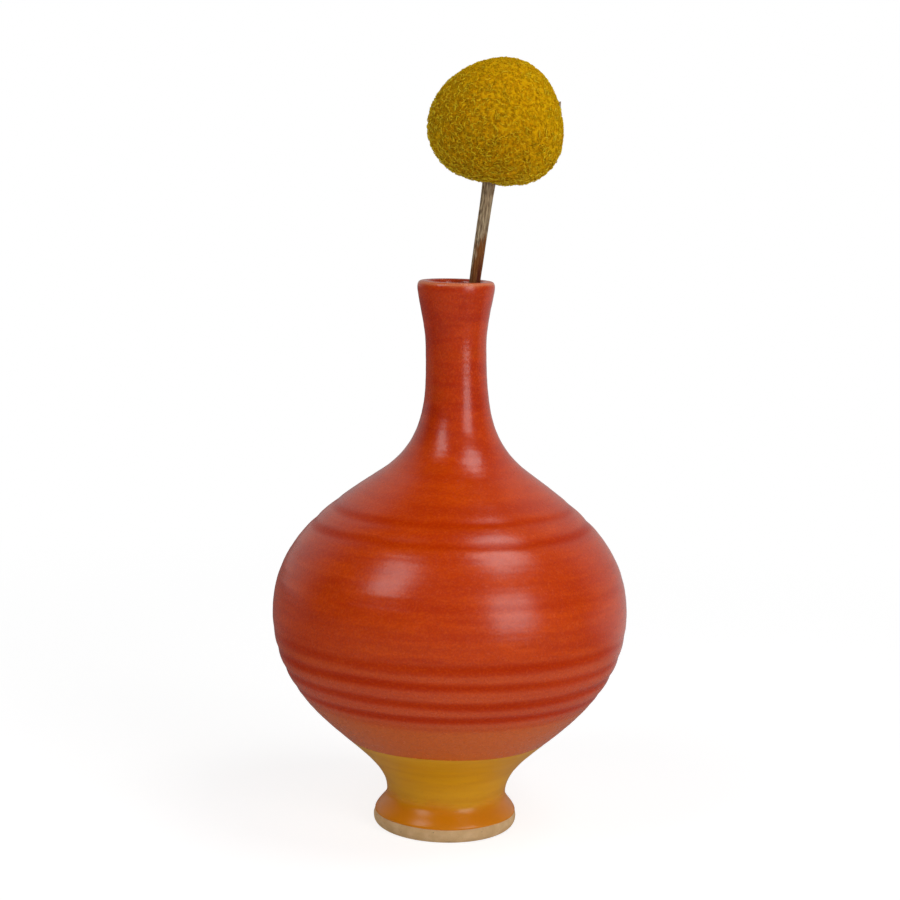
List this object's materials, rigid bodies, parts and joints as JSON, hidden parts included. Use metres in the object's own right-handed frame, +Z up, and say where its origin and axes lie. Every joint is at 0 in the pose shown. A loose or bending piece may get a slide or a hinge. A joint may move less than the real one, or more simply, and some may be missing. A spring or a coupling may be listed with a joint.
{
  "type": "bud vase",
  "caption": "Thrown stoneware bud vase with a round belly, slender neck and flared foot, holding a dried globe flower that lifts out.",
  "frame": {"origin": "on the vase's axis, in the plane that the foot ring rests on", "axes": "+Z up the vase's axis; +X to the right and +Y away from the front view; the flower leans 30 degrees from +X towards +Y"},
  "size_m": [0.0732, 0.0732, 0.1591],
  "materials": {
    "bare_clay": "matte",
    "red_glaze": "satin",
    "yellow_glaze": "gloss",
    "liner_glaze": "satin",
    "dried_stem": "matte",
    "flower_core": "matte",
    "florets": "matte"
  },
  "bodies": {
    "vase": {"vase_body": "bare_clay", "red_glaze": "red_glaze", "yellow_glaze": "yellow_glaze", "liner_glaze": "liner_glaze"},
    "flower": {"stem": "dried_stem", "receptacle": "flower_core", "floret_head": "florets"}
  },
  "joints": [
    {"name": "flower_lift", "type": "slide", "parent": "vase", "child": "flower", "axis": [0.11, 0.0635, 0.9919], "range_m": [0, 0.12]}
  ]
}
